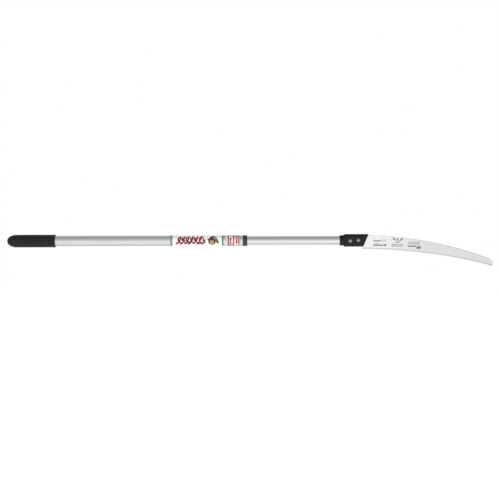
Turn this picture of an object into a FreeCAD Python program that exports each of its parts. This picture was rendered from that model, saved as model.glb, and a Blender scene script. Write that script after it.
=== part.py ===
"""Telescoping pole saw: an aluminium pole in two sections with a twist lock, and a curved pruning blade.

Row frame: +X runs along the pole from the butt to the blade, +Z is up with the blade's teeth pointing
down, and the origin is on the pole's axis at the middle of the grip's barrel. Millimetres.
"""

import FreeCAD
import Part
import Sketcher
import math
import os
import re
from FreeCAD import Placement, Rotation, Vector

# alias, value, what it is. Lengths in mm, angles in degrees. Places along the pole are row-frame X.
DRIVING = [
    ("fit_gap", 0.05, "radial gap of a press or glued fit"),
    ("slide_gap", 0.08, "radial gap of a sliding or running fit"),
    ("outer_od", 28.0, "outer tube, outside diameter"),
    ("outer_wall", 1.4, "outer tube, wall"),
    ("outer_back", -58.5, "outer tube, back end"),
    ("outer_front", 568.8, "outer tube, front end"),
    ("inner_od", 24.0, "inner tube, outside diameter"),
    ("inner_wall", 1.2, "inner tube, wall"),
    ("inner_back", 258.5, "inner tube, back end at rest"),
    ("inner_front", 880.0, "inner tube, front end at rest"),
    ("grip_od", 34.0, "grip, outside diameter"),
    ("grip_barrel", 107.0, "grip, length from its nose to its mouth"),
    ("grip_rim", 6.0, "grip, length of the thicker rim at its mouth"),
    ("grip_rim_od", 34.8, "grip, diameter of that rim"),
    ("grip_nose", 23.0, "grip, length of its domed nose"),
    ("grip_shoulder", 30.0, "grip, radius of the nose's long curve"),
    ("grip_tip", 10.0, "grip, radius that rounds the nose's end"),
    ("grip_lip", 1.2, "grip, radius of the rim's edges"),
    ("grip_web", 5.0, "grip, rubber at the very end of the nose"),
    ("plug_length", 18.0, "butt plug, length inside the outer tube"),
    ("plug_rim", 1.3, "butt plug, thickness of its rim"),
    ("plug_wall", 1.6, "butt plug, wall of its cup"),
    ("collar_od", 29.0, "mouth collar, outside diameter"),
    ("collar_skirt", 9.9, "mouth collar, length of its outer skirt"),
    ("collar_lip", 2.0, "mouth collar, thickness of its front lip"),
    ("collar_liner", 40.0, "mouth collar, length of its inner liner"),
    ("label_skin", 0.1, "sticker thickness"),
    ("main_label_at", 364.0, "main label, back edge"),
    ("main_label_long", 143.4, "main label, length"),
    ("badge_at", 512.2, "badge, back edge"),
    ("badge_long", 38.8, "badge, length"),
    ("flange_thick", 3.0, "stud plug, flange thickness"),
    ("stud_plug_long", 28.0, "stud plug, length inside the inner tube"),
    ("stud_od", 10.0, "lock stud, diameter over its thread"),
    ("stud_grip", 10.0, "lock stud, length held in the plug"),
    ("stud_back", 212.5, "lock stud, free end"),
    ("stop_nut_at", 214.2, "stop nut, back face"),
    ("stop_nut_thick", 5.0, "stop nut, thickness"),
    ("stop_nut_flats", 16.0, "stop nut, across flats"),
    ("plug_pin_at", 276.5, "plug pin, place along the pole"),
    ("plug_pin_od", 4.0, "plug pin, diameter"),
    ("sleeve_back", 225.2, "expander sleeve, mouth"),
    ("sleeve_long", 30.0, "expander sleeve, length"),
    ("taper_long", 22.0, "expander sleeve, length of its tapered bore"),
    ("taper_wide", 9.5, "expander sleeve, bore radius at the mouth"),
    ("taper_narrow", 6.2, "expander sleeve, bore radius at the taper's end"),
    ("sleeve_bore", 5.6, "expander sleeve, bore radius behind the taper"),
    ("slot_wide", 2.4, "expander sleeve, slot width"),
    ("slot_long", 23.0, "expander sleeve, slot length"),
    ("cone_reach", 14.0, "expander cone, length inside the sleeve"),
    ("cone_base", 3.0, "expander cone, thickness of its base"),
    ("cone_gap", 1.0, "expander cone, gap from its base to the sleeve"),
    ("cone_base_r", 11.5, "expander cone, radius of its base"),
    ("cone_clear", 0.12, "expander cone, radial gap in the taper when locked"),
    ("key_wide", 2.0, "expander cone, key width"),
    ("ring_at", 26.6, "drag ring, place from the sleeve's mouth"),
    ("ring_cord", 1.9, "drag ring, diameter of its cord"),
    ("neck_back", 820.0, "holder, back of its neck"),
    ("neck_long", 12.1, "holder, length of its neck"),
    ("neck_od", 27.2, "holder, neck diameter at its back"),
    ("neck_flare", 0.9, "holder, growth of the neck's radius towards its body"),
    ("head_high", 34.0, "holder, height"),
    ("head_thick", 29.0, "holder, thickness over both shells"),
    ("head_round", 9.0, "holder, radius of its long edges"),
    ("head_back_round", 1.6, "holder, radius round its back"),
    ("shell_gap", 0.3, "holder, gap between the two shells, closed by the bolts' pull"),
    ("face_at", 21.1, "holder, slanted face on the axis, from the front bolt"),
    ("face_lean", 23.0, "holder, lean of its slanted face"),
    ("bevel_long", 8.0, "holder, front bevel along its side"),
    ("bevel_deep", 6.0, "holder, front bevel into its thickness"),
    ("bolt_at", 869.4, "front bolt, place along the pole"),
    ("bolt_pitch", 21.5, "distance between the two bolts along the pole"),
    ("bolt_drop", 1.7, "rear bolt, depth below the axis"),
    ("bolt_od", 5.0, "bolt, diameter"),
    ("bolt_long", 35.0, "bolt, length under the head"),
    ("bolt_head_od", 9.0, "bolt, head diameter"),
    ("bolt_head_high", 2.8, "bolt, head height"),
    ("bolt_socket", 3.0, "bolt, hex socket across flats"),
    ("socket_deep", 1.7, "bolt, hex socket depth"),
    ("hole_gap", 0.15, "radial gap round a bolt"),
    ("spot_od", 12.0, "holder, diameter of the seat under a washer"),
    ("spot_deep", 0.6, "holder, depth of the seat under a washer"),
    ("washer_od", 10.0, "flat washer, outside diameter"),
    ("washer_thick", 1.0, "flat washer, thickness"),
    ("nut_flats", 8.0, "lock nut, across flats"),
    ("nut_hex_high", 3.6, "lock nut, height of its hexagon"),
    ("nut_high", 5.0, "lock nut, whole height"),
    ("insert_long", 1.2, "lock nut, thickness of its nylon insert"),
    ("insert_od", 6.3, "lock nut, outside diameter of its nylon insert"),
    ("blade_thick", 1.4, "blade, thickness at the teeth and tang"),
    ("spine_thin", 0.3, "blade, taken off each side at the spine by grinding"),
    ("spine_top", 14.6, "blade, height of the spine arc above the axis"),
    ("spine_r", 1012.0, "blade, radius of the spine arc"),
    ("edge_drop", 23.7, "blade, depth of the tooth-tip arc below the axis"),
    ("edge_r", 1438.0, "blade, radius of the tooth-tip arc"),
    ("face_gap", 0.2, "blade, gap from its shoulder to the holder's face"),
    ("heel_at", 13.3, "blade, heel corner from the front bolt"),
    ("heel_top", 17.0, "blade, depth where the shoulder turns down to the heel"),
    ("tip_back", 352.6, "blade, end of the spine arc from the front bolt"),
    ("tip_nose", 365.7, "blade, foremost point from the front bolt"),
    ("tip_nose_drop", 62.5, "blade, depth of the foremost point below the axis"),
    ("tip_end", 362.7, "blade, end of the tooth line from the front bolt"),
    ("tip_r", 21.0, "blade, radius of the tip's curve"),
    ("tip_corner", 5.5, "blade, radius of the corner at the end of the tooth line"),
    ("tang_high", 17.0, "blade, height of the tang"),
    ("tang_back", 32.0, "blade, tang's end behind the front bolt"),
    ("tang_round", 3.0, "blade, radius of the tang's corners"),
    ("tang_slack", 0.3, "gap above and below the tang in the holder"),
    ("side_slack", 0.04, "gap on each side of the blade in holder and packers"),
    ("tooth_pitch", 4.0, "blade, distance between teeth along the arc"),
    ("tooth_deep", 3.5, "blade, gullet depth"),
    ("tooth_flat", 0.12, "blade, flat at a tooth's tip"),
    ("gullet_at", 2.75, "blade, place of the gullet in each pitch"),
    ("tooth_start", 17.6, "blade, first gullet from the front bolt"),
    ("fleam", 22.0, "blade, angle of the tooth bevels"),
    ("grind_start", 1.55, "blade, angle round the tooth arc where the grinding starts"),
    ("grind_low", 8.0, "blade, height of the grind's lower edge above the tooth tips"),
]
TOOTH_PAIRS = 42
CONE_KEYS = 4
SLEEVE_GRIP_RINGS = 6
RING_PITCH = 3.0

doc = FreeCAD.newDocument("pole_saw")
sheet = doc.addObject("Spreadsheet::Sheet", "Sizes")
for row, (alias, size, meaning) in enumerate(DRIVING, start=1):
    sheet.set(f"A{row}", meaning)
    sheet.set(f"B{row}", str(size))
    sheet.setAlias(f"B{row}", alias)
doc.recompute()
ALIASES = {alias for alias, _size, _meaning in DRIVING}


# ---------------------------------------------------------------- helpers
def cells(text):
    """The text with each driving dimension's name turned into a reference to its cell."""
    return re.sub(r"[a-z_]+", lambda m: f"Sizes.{m[0]}" if m[0] in ALIASES else m[0], str(text))


def value(text):
    """The number that an expression of driving dimensions comes to."""
    return float(sheet.evalExpression(cells(text)))


def bind(thing, prop, text):
    thing.setExpression(prop, cells(text))


def new_body(name, along="0"):
    """A body with its own origin at that place along the pole."""
    body = doc.addObject("PartDesign::Body", name)
    body.Label = name
    bind(body, "Placement.Base.x", along)
    return body


def origin_plane(body, role):
    return next(f for f in body.Origin.OriginFeatures if f.Role == role)


def new_sketch(body, role, shift=None, lean=None):
    """A sketch on an origin plane. shift: its origin, as expressions. lean: axis and angle of its turn."""
    sketch = body.newObject("Sketcher::SketchObject", f"{body.Name}_sketch")
    sketch.AttachmentSupport = [(origin_plane(body, role), "")]
    sketch.MapMode = "FlatFace"
    if lean is not None:
        axis, angle = lean
        sketch.AttachmentOffset = Placement(Vector(), Rotation(axis, value(angle)))
        bind(sketch, "AttachmentOffset.Rotation.Angle", angle)
    for letter, amount in zip("xyz", shift or ()):
        bind(sketch, f"AttachmentOffset.Base.{letter}", amount)
    doc.recompute()
    return sketch


def dimension(sketch, kind, geometry, text):
    """Adds a dimension to the sketch and binds it to the sheet."""
    number = sketch.addConstraint(Sketcher.Constraint(kind, *geometry, value(text)))
    sketch.setExpression(f"Constraints[{number}]", cells(text))


def arc_middle(start, end, radius, side):
    """A point of the arc from start to end; side +1 bulges it to the left of the way from start to end."""
    chord = end - start
    half = chord.Length / 2
    sagitta = radius - math.sqrt(radius**2 - half**2)
    left = Vector(-chord.y, chord.x, 0).normalize()
    return (start + end) / 2 + left * sagitta * side


def add_outline(sketch, corners, arcs=None):
    """Closes corners, pairs of expressions, into an outline. arcs: side number to (radius, bulge side)."""
    arcs = arcs or {}
    points = [Vector(value(x), value(y), 0) for x, y in corners]
    count = len(points)
    ends = []
    for i, start in enumerate(points):
        end = points[(i + 1) % count]
        if i in arcs:
            radius, side = arcs[i]
            middle = arc_middle(start, end, value(radius), side)
            curve = Part.Arc(start, middle, end)
            number = sketch.addGeometry(curve, False)
            first = sketch.getPoint(number, 1)
            ends.append((1, 2) if first.distanceToPoint(start) < first.distanceToPoint(end) else (2, 1))
        else:
            number = sketch.addGeometry(Part.LineSegment(start, end), False)
            ends.append((1, 2))
    base = number - count + 1
    for i in range(count):
        after = (i + 1) % count
        joint = Sketcher.Constraint("Coincident", base + i, ends[i][1], base + after, ends[after][0])
        sketch.addConstraint(joint)
    for i, (x, y) in enumerate(corners):
        dimension(sketch, "DistanceX", (-1, 1, base + i, ends[i][0]), x)
        dimension(sketch, "DistanceY", (-1, 1, base + i, ends[i][0]), y)
    for i, (radius, _side) in arcs.items():
        dimension(sketch, "Radius", (base + i,), radius)
    return sketch


def add_circle(sketch, x, y, radius):
    circle = Part.Circle(Vector(value(x), value(y), 0), Vector(0, 0, 1), value(radius))
    number = sketch.addGeometry(circle, False)
    dimension(sketch, "DistanceX", (-1, 1, number, 3), x)
    dimension(sketch, "DistanceY", (-1, 1, number, 3), y)
    dimension(sketch, "Radius", (number,), radius)
    return sketch


def rectangle(x_low, x_high, y_low, y_high):
    return [(x_low, y_low), (x_high, y_low), (x_high, y_high), (x_low, y_high)]


def turn(body, corners, arcs=None, cut=False, degrees=360.0):
    """Revolves an outline, drawn as along-axis and radius, about the body's X axis."""
    sketch = add_outline(new_sketch(body, "XY_Plane"), corners, arcs)
    kind = "Groove" if cut else "Revolution"
    feature = body.newObject(f"PartDesign::{kind}", f"{body.Name}_{kind.lower()}")
    feature.Profile = sketch
    feature.ReferenceAxis = (sketch, ["H_Axis"])
    feature.Angle = degrees
    sketch.Visibility = False
    doc.recompute()
    return feature


def extrude(body, sketch, text=None, cut=False, both_ways=False, backwards=False):
    """Pads or pockets a sketch by that length, or right through when none is given."""
    kind = "Pocket" if cut else "Pad"
    feature = body.newObject(f"PartDesign::{kind}", f"{body.Name}_{kind.lower()}")
    feature.Profile = sketch
    feature.Reversed = backwards
    if both_ways:
        feature.SideType = "Symmetric"
    if text is None:
        feature.Type = "ThroughAll"
    else:
        bind(feature, "Length", text)
    sketch.Visibility = False
    doc.recompute()
    return feature


def polar(body, feature, axis, count, step=None, backwards=False):
    """Repeats a feature round an axis; step is the angle between neighbours, or a full turn is shared."""
    pattern = body.newObject("PartDesign::PolarPattern", f"{body.Name}_polar")
    pattern.Originals = [feature]
    pattern.Axis = axis
    pattern.Occurrences = count
    pattern.Reversed = backwards
    if step is None:
        pattern.Angle = 360.0
    else:
        pattern.Mode = "Spacing"
        bind(pattern, "Offset", step)
    body.Tip = pattern
    doc.recompute()
    return pattern


def edges_where(feature, test):
    """Names of the feature's edges whose middle point and length pass the test."""
    names = []
    for i, edge in enumerate(feature.Shape.Edges, start=1):
        middle = edge.valueAt((edge.FirstParameter + edge.LastParameter) / 2)
        if test(edge, middle):
            names.append(f"Edge{i}")
    assert names, f"no edge of {feature.Name} passes the test"
    return names


def round_edge(along, radius):
    """A test for the whole circle of that radius about the pole, at that place along it."""
    return lambda edge, middle: (
        abs(middle.x - along) < 0.01 and abs(math.hypot(middle.y, middle.z) - radius) < 0.01
    )


def upright_edge(along, below=1000):
    """A test for an edge that crosses the blade's plane at that place, under that height."""
    return lambda edge, middle: abs(middle.x - along) < 0.05 and abs(middle.y) < 0.01 and middle.z < below


def fillet(body, feature, test, radius):
    rounded = body.newObject("PartDesign::Fillet", f"{body.Name}_fillet")
    rounded.Base = (feature, edges_where(feature, test))
    bind(rounded, "Radius", radius)
    doc.recompute()
    return rounded


def tube(name, back, front, outside, inside):
    """A round sleeve between two places along the pole; outside and inside are radii."""
    body = new_body(name, back)
    turn(body, rectangle("0", f"{front} - ({back})", inside, outside))
    return body


def mirror_across_pole(name, source):
    """The same piece on the other side of the blade's plane."""
    other = doc.addObject("Part::Mirroring", name)
    other.Label = name
    other.Source = source
    other.Normal = Vector(0, 1, 0)
    doc.recompute()
    return other


def group(name, members):
    """Identical fasteners as one node of separate solids."""
    together = doc.addObject("Part::Compound", name)
    together.Label = name
    together.Links = members
    doc.recompute()
    return together


def at_bolt(body, number, across, flip=False):
    """Stands a turned body across the pole at one of the two bolts, with its own X axis along +Y or -Y."""
    body.Placement = Placement(Vector(0, value(across), 0), Rotation(Vector(0, 0, 1), -90 if flip else 90))
    bind(body, "Placement.Base.x", f"bolt_at - {number} * bolt_pitch")
    bind(body, "Placement.Base.y", across)
    bind(body, "Placement.Base.z", f"-{number} * bolt_drop")
    return body


# ---------------------------------------------------------------- pole, outer section
def make_grip():
    """A soft closed sleeve with a domed nose and a thicker rim, pushed over the outer tube's back end."""
    body = new_body("grip_sleeve", "-grip_barrel / 2 - grip_nose")
    nose_end = "(grip_od / 2 - grip_shoulder + sqrt(grip_shoulder ^ 2 - grip_nose ^ 2))"
    bore = "outer_od / 2 + fit_gap"
    mouth = "grip_nose + grip_barrel"
    tube_stop = "grip_nose - 7"
    shell = turn(
        body,
        [
            ("0", "0"),
            ("0", nose_end),
            ("grip_nose", "grip_od / 2"),
            (f"{mouth} - grip_rim", "grip_od / 2"),
            (f"{mouth} - grip_rim", "grip_rim_od / 2"),
            (mouth, "grip_rim_od / 2"),
            (mouth, bore),
            (tube_stop, bore),
            (tube_stop, "8"),
            ("grip_web", "5"),
            ("grip_web", "0"),
        ],
        arcs={1: ("grip_shoulder", 1)},
    )
    nose = fillet(body, shell, round_edge(0, value(nose_end)), "grip_tip")
    rim_back = value(f"{mouth} - grip_rim")
    rim_r = value("grip_rim_od / 2")
    softened = fillet(body, nose, round_edge(value(mouth), rim_r), "grip_lip")
    fillet(body, softened, round_edge(rim_back, rim_r), "0.3")
    return body


def make_butt_plug():
    """A cup that closes the outer tube inside the grip, so that the tube's edge doesn't cut through."""
    body = new_body("butt_plug", "outer_back - plug_rim - fit_gap")
    bore = "outer_od / 2 - outer_wall"
    floor_x = "plug_rim + plug_wall"
    turn(
        body,
        [
            ("0", "0"),
            ("0", "outer_od / 2 - fit_gap"),
            ("plug_rim", "outer_od / 2 - fit_gap"),
            ("plug_rim", f"{bore} - fit_gap"),
            ("plug_rim + plug_length - 2", f"{bore} - fit_gap"),
            ("plug_rim + plug_length", f"{bore} - 0.6"),
            ("plug_rim + plug_length", f"{bore} - fit_gap - plug_wall"),
            (floor_x, f"{bore} - fit_gap - plug_wall"),
            (floor_x, "0"),
        ],
    )
    return body


def make_outer_tube():
    body = tube("outer_tube", "outer_back", "outer_front", "outer_od / 2", "outer_od / 2 - outer_wall")
    return body


def make_mouth_collar():
    """A cap over the outer tube's front end, with a thin liner inside that guides the inner tube."""
    body = new_body("mouth_collar", "outer_front - collar_liner")
    over_tube = "outer_od / 2 + fit_gap"
    in_tube = "outer_od / 2 - outer_wall - fit_gap"
    guide = "inner_od / 2 + slide_gap"
    end_x = "collar_liner + fit_gap"
    cap = turn(
        body,
        [
            ("0", guide),
            ("0", in_tube),
            (end_x, in_tube),
            (end_x, over_tube),
            ("collar_liner - collar_skirt", over_tube),
            ("collar_liner - collar_skirt", "collar_od / 2"),
            ("collar_liner + collar_lip", "collar_od / 2"),
            ("collar_liner + collar_lip", guide),
        ],
    )
    fillet(body, cap, round_edge(value("collar_liner + collar_lip"), value("collar_od / 2")), "0.7")
    return body


def make_labels():
    """Two stickers wrapped round the outer tube."""
    inside = "outer_od / 2 + 0.02"
    outside = f"{inside} + label_skin"
    tube("main_label", "main_label_at", "(main_label_at + main_label_long)", outside, inside)
    tube("badge_label", "badge_at", "(badge_at + badge_long)", outside, inside)


# ---------------------------------------------------------------- twist lock inside the pole
def make_stud_plug():
    """Closes the inner tube's back end, guides it in the outer tube by its flange and holds the lock stud."""
    body = new_body("stud_plug", "inner_back - flange_thick")
    in_tube = "inner_od / 2 - inner_wall - fit_gap"
    bore = "stud_od / 2 + 0.03"
    stud_stop = "flange_thick + stud_grip + 0.1"
    turn(
        body,
        [
            ("0", bore),
            ("0", "outer_od / 2 - outer_wall - slide_gap"),
            ("flange_thick - fit_gap", "outer_od / 2 - outer_wall - slide_gap"),
            ("flange_thick - fit_gap", in_tube),
            ("flange_thick + stud_plug_long - 1.5", in_tube),
            ("flange_thick + stud_plug_long", f"{in_tube} - 1.5"),
            ("flange_thick + stud_plug_long", "0"),
            (stud_stop, "0"),
            (stud_stop, bore),
        ],
    )
    pin_hole = new_sketch(body, "XZ_Plane")
    add_circle(pin_hole, "plug_pin_at - inner_back + flange_thick", "0", "plug_pin_od / 2 + 0.02")
    extrude(body, pin_hole, "inner_od * 2", cut=True, both_ways=True)
    return body


def make_plug_pin():
    """A rolled pin through the inner tube and its plug."""
    body = doc.addObject("PartDesign::Body", "plug_pin")
    body.Label = "plug_pin"
    half = "(inner_od / 2 - 0.15)"
    turn(body, rectangle("0", f"2 * {half}", "1.2", "plug_pin_od / 2"))
    body.Placement = Placement(Vector(0, -value(half), 0), Rotation(Vector(0, 0, 1), 90))
    bind(body, "Placement.Base.x", "plug_pin_at")
    bind(body, "Placement.Base.y", f"-{half}")
    return body


def make_lock_stud():
    body = new_body("lock_stud", "stud_back")
    rod = turn(body, rectangle("0", "inner_back + stud_grip - stud_back", "0", "stud_od / 2"))
    chamfer = body.newObject("PartDesign::Chamfer", "lock_stud_chamfer")
    chamfer.Base = (rod, edges_where(rod, round_edge(0, value("stud_od / 2"))))
    chamfer.Size = 0.8
    doc.recompute()
    return body


def hexagon(sketch, across_flats):
    """A hexagon about the sketch's origin, with a corner up."""
    corner = f"({across_flats}) / 2 / cos(30)"
    return add_outline(
        sketch,
        [(f"{corner} * cos({60 * i + 30})", f"{corner} * sin({60 * i + 30})") for i in range(6)],
    )


def make_stop_nut():
    """Keeps the cone on the stud."""
    body = new_body("stop_nut", "stop_nut_at")
    sketch = hexagon(new_sketch(body, "YZ_Plane"), "stop_nut_flats")
    add_circle(sketch, "0", "0", "stud_od / 2 + 0.02")
    extrude(body, sketch, "stop_nut_thick")
    return body


def make_expander_sleeve():
    """A slotted collet that the cone spreads against the outer tube's bore."""
    body = new_body("expander_sleeve", "sleeve_back")
    bore = "outer_od / 2 - outer_wall - slide_gap"
    groove_r = "outer_od / 2 - outer_wall - ring_cord - slide_gap - 0.1"
    groove_low, groove_high = "ring_at - ring_cord / 2 - 0.3", "ring_at + ring_cord / 2 + 0.3"
    turn(
        body,
        [
            ("0", "taper_wide"),
            ("0", f"{bore} - 0.6"),
            ("1.2", bore),
            (groove_low, bore),
            (groove_low, groove_r),
            (groove_high, groove_r),
            (groove_high, bore),
            ("sleeve_long", bore),
            ("sleeve_long", "sleeve_bore"),
            ("taper_long", "sleeve_bore"),
            ("taper_long", "taper_narrow"),
        ],
    )
    ring = turn(
        body,
        [("3", bore), ("3.5", f"{bore} - 0.5"), ("4", bore), ("4", f"{bore} + 1"), ("3", f"{bore} + 1")],
        cut=True,
    )
    rings = body.newObject("PartDesign::LinearPattern", "expander_sleeve_rings")
    rings.Originals = [ring]
    rings.Direction = (origin_plane(body, "X_Axis"), [""])
    rings.Mode = "Spacing"
    rings.Offset = RING_PITCH
    rings.Occurrences = SLEEVE_GRIP_RINGS
    body.Tip = rings
    doc.recompute()
    slot = new_sketch(body, "XY_Plane")
    add_outline(slot, rectangle("-1", "slot_long", "-slot_wide / 2", "slot_wide / 2"))
    cut = extrude(body, slot, "outer_od / 2", cut=True, backwards=True)
    polar(body, cut, (origin_plane(body, "X_Axis"), [""]), CONE_KEYS)
    return body


def make_expander_cone():
    """A nut on the stud, kept from turning by keys in the sleeve's slots, that wedges the sleeve open."""
    body = new_body("expander_cone", "sleeve_back - cone_gap - cone_base")
    slope = "(taper_wide - taper_narrow) / taper_long"
    start = "cone_base + cone_gap"
    wide = f"taper_wide - cone_clear + {slope} * cone_gap"
    narrow = f"taper_wide - cone_clear - {slope} * cone_reach"
    turn(
        body,
        [
            ("0", "stud_od / 2 + slide_gap"),
            ("0", "cone_base_r"),
            ("cone_base", "cone_base_r"),
            ("cone_base", wide),
            (f"{start} + cone_reach", narrow),
            (f"{start} + cone_reach", "stud_od / 2 + slide_gap"),
        ],
    )
    key = new_sketch(body, "XZ_Plane")
    add_outline(
        key,
        [
            ("cone_base - 0.5", "taper_narrow"),
            (f"{start} + cone_reach - 2", "taper_narrow"),
            (f"{start} + cone_reach - 5", "cone_base_r"),
            ("cone_base - 0.5", "cone_base_r"),
        ],
    )
    pad = extrude(body, key, "key_wide", both_ways=True)
    polar(body, pad, (origin_plane(body, "X_Axis"), [""]), CONE_KEYS)
    return body


def make_drag_ring():
    """A rubber ring that drags in the bore, so that the sleeve doesn't turn with the stud."""
    body = new_body("drag_ring", "sleeve_back + ring_at")
    sketch = new_sketch(body, "XY_Plane")
    add_circle(sketch, "0", "outer_od / 2 - outer_wall - slide_gap - ring_cord / 2", "ring_cord / 2")
    ring = body.newObject("PartDesign::Revolution", "drag_ring_revolution")
    ring.Profile = sketch
    ring.ReferenceAxis = (sketch, ["H_Axis"])
    ring.Angle = 360.0
    doc.recompute()
    return body


def make_inner_tube():
    """The sliding section, cross-drilled for the plug's pin and the two blade bolts."""
    body = tube("inner_tube", "inner_back", "inner_front", "inner_od / 2", "inner_od / 2 - inner_wall")
    pin_hole = new_sketch(body, "XZ_Plane")
    add_circle(pin_hole, "plug_pin_at - inner_back", "0", "plug_pin_od / 2 + 0.02")
    extrude(body, pin_hole, "inner_od * 2", cut=True, both_ways=True)
    bolt_holes = new_sketch(body, "XZ_Plane")
    for number in range(2):
        along = f"bolt_at - {number} * bolt_pitch - inner_back"
        add_circle(bolt_holes, along, f"-{number} * bolt_drop", "bolt_od / 2 + hole_gap")
    extrude(body, bolt_holes, "inner_od * 2", cut=True, both_ways=True)
    return body


# ---------------------------------------------------------------- head
def make_holder():
    """Two black shells that close round the tube's end and the blade's tang, drawn about the front bolt."""
    body = new_body("holder_left", "bolt_at")
    back = "neck_back + neck_long - bolt_at"
    half_high = "head_high / 2"
    lean = "tan(face_lean)"
    side = add_outline(
        new_sketch(body, "XZ_Plane"),
        [
            (back, f"-{half_high}"),
            (f"face_at - {half_high} * {lean}", f"-{half_high}"),
            (f"face_at + {half_high} * {lean}", half_high),
            (back, half_high),
        ],
    )
    block = extrude(body, side, "head_thick / 2")
    outer_y = -value("head_thick / 2")
    high = value(half_high)
    back_x = value(back)
    fillet(
        body,
        block,
        lambda e, p: abs(p.y - outer_y) < 0.01 and abs(abs(p.z) - high) < 0.01,
        "head_round",
    )
    pared = add_outline(
        new_sketch(body, "XY_Plane"),
        [
            ("face_at - bevel_long", "-head_thick / 2"),
            ("face_at + bevel_long", "2 * bevel_deep - head_thick / 2"),
            ("face_at + bevel_long", "-head_thick / 2 - 1"),
            ("face_at - bevel_long", "-head_thick / 2 - 1"),
        ],
    )
    bevel = body.newObject("PartDesign::Pocket", "holder_left_bevel")
    bevel.Profile = pared
    bevel.SideType = "Symmetric"
    bevel.UseCustomVector = True
    bevel.AlongSketchNormal = False
    slant = math.radians(value("face_lean"))
    bevel.Direction = Vector(math.sin(slant), 0, math.cos(slant))
    bind(bevel, "Length", "2 * head_high")
    doc.recompute()
    fillet(
        body,
        bevel,
        lambda e, p: abs(p.x - back_x) < 0.01 and p.y < -1,
        "head_back_round",
    )
    neck = add_outline(
        new_sketch(body, "XZ_Plane"),
        [
            (f"{back} - neck_long", "inner_od / 2 - 2"),
            (f"{back} + 6", "inner_od / 2 - 2"),
            (f"{back} + 6", "neck_od / 2 + neck_flare"),
            (back, "neck_od / 2 + neck_flare"),
            (f"{back} - neck_long", "neck_od / 2"),
        ],
    )
    half_ring = body.newObject("PartDesign::Revolution", "holder_left_neck")
    half_ring.Profile = neck
    half_ring.ReferenceAxis = (neck, ["H_Axis"])
    half_ring.Angle = 180.0
    doc.recompute()
    turn(
        body,
        rectangle(f"{back} - neck_long - 1", "inner_front - bolt_at + 0.1", "0", "inner_od / 2 + fit_gap"),
        cut=True,
    )
    slot = add_outline(
        new_sketch(body, "XZ_Plane"),
        rectangle(
            "inner_front - bolt_at - 1",
            "face_at + head_high",
            "-tang_high / 2 - tang_slack",
            "tang_high / 2 + tang_slack",
        ),
    )
    extrude(body, slot, "blade_thick / 2 + side_slack", cut=True, backwards=True)
    split = add_outline(
        new_sketch(body, "XZ_Plane"),
        rectangle(f"{back} - neck_long - 1", "face_at + head_high", "-head_high", "head_high"),
    )
    extrude(body, split, "shell_gap / 2", cut=True, backwards=True)
    holes = new_sketch(body, "XZ_Plane")
    for number in range(2):
        add_circle(holes, f"-{number} * bolt_pitch", f"-{number} * bolt_drop", "bolt_od / 2 + hole_gap")
    extrude(body, holes, "head_thick * 2", cut=True, both_ways=True)
    seats = new_sketch(body, "XZ_Plane", ("0", "0", "head_thick / 2"))
    for number in range(2):
        add_circle(seats, f"-{number} * bolt_pitch", f"-{number} * bolt_drop", "spot_od / 2")
    extrude(body, seats, "spot_deep", cut=True)
    return body


def make_packer():
    """A half-round filler that holds the tang in the middle of the tube and carries the bolts' clamping."""
    body = new_body("packer_left", "bolt_at")
    radius = "(inner_od / 2 - inner_wall - fit_gap)"
    flat = "(blade_thick / 2 + side_slack)"
    rim = f"sqrt({radius} ^ 2 - {flat} ^ 2)"
    section = add_outline(
        new_sketch(body, "YZ_Plane"),
        [(f"-{flat}", rim), (f"-{flat}", f"-{rim}")],
        arcs={1: (radius, 1)},
    )
    length = "(inner_front - 0.5 - bolt_at)"
    extrude(body, section, length)
    extrude(body, section, "tang_back + 3", backwards=True)
    holes = new_sketch(body, "XZ_Plane")
    for number in range(2):
        add_circle(holes, f"-{number} * bolt_pitch", f"-{number} * bolt_drop", "bolt_od / 2 + hole_gap")
    extrude(body, holes, "inner_od * 2", cut=True, both_ways=True)
    return body


def blade_arc_height(along, top, radius):
    """Height of a blade arc, whose top is over the front bolt, at a place along the blade."""
    return f"({top} - {radius} + sqrt({radius} ^ 2 - ({along}) ^ 2))"


def make_blade():
    """A curved taper-ground pull-cut blade, drawn about the front bolt, straight above both arcs' centres."""
    body = new_body("saw_blade", "bolt_at")
    lean = "tan(face_lean)"
    shoulder = "(face_at + face_gap)"
    half_tang = "tang_high / 2"
    top_x = f"({shoulder} + (spine_top - 0.33) * {lean})"
    outline = add_outline(
        new_sketch(body, "XZ_Plane"),
        [
            ("-tang_back", f"-{half_tang}"),
            (f"{shoulder} - {half_tang} * {lean}", f"-{half_tang}"),
            (f"{shoulder} - heel_top * {lean}", "-heel_top"),
            ("heel_at", blade_arc_height("heel_at", "-edge_drop", "edge_r")),
            ("tip_end", blade_arc_height("tip_end", "-edge_drop", "edge_r")),
            ("tip_nose", "-tip_nose_drop"),
            ("tip_back", blade_arc_height("tip_back", "spine_top", "spine_r")),
            (top_x, blade_arc_height(top_x, "spine_top", "spine_r")),
            (f"{shoulder} + {half_tang} * {lean}", half_tang),
            ("-tang_back", half_tang),
        ],
        arcs={3: ("edge_r", 1), 5: ("tip_r", -1), 6: ("spine_r", -1)},
    )
    plate = extrude(body, outline, "blade_thick", both_ways=True)
    rounded = fillet(body, plate, upright_edge(-value("tang_back")), "tang_round")
    rounded = fillet(body, rounded, upright_edge(value("heel_at"), below=-20), "1.5")
    fillet(body, rounded, upright_edge(value("tip_end")), "tip_corner")
    holes = new_sketch(body, "XZ_Plane")
    for number in range(2):
        add_circle(holes, f"-{number} * bolt_pitch", f"-{number} * bolt_drop", "bolt_od / 2 + hole_gap")
    extrude(body, holes, "inner_od", cut=True, both_ways=True)
    grind_faces(body)
    cut_teeth(body)
    return body


TOOTH_ARC_CENTRE = ("0", "-edge_drop - edge_r", "0")


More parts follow.
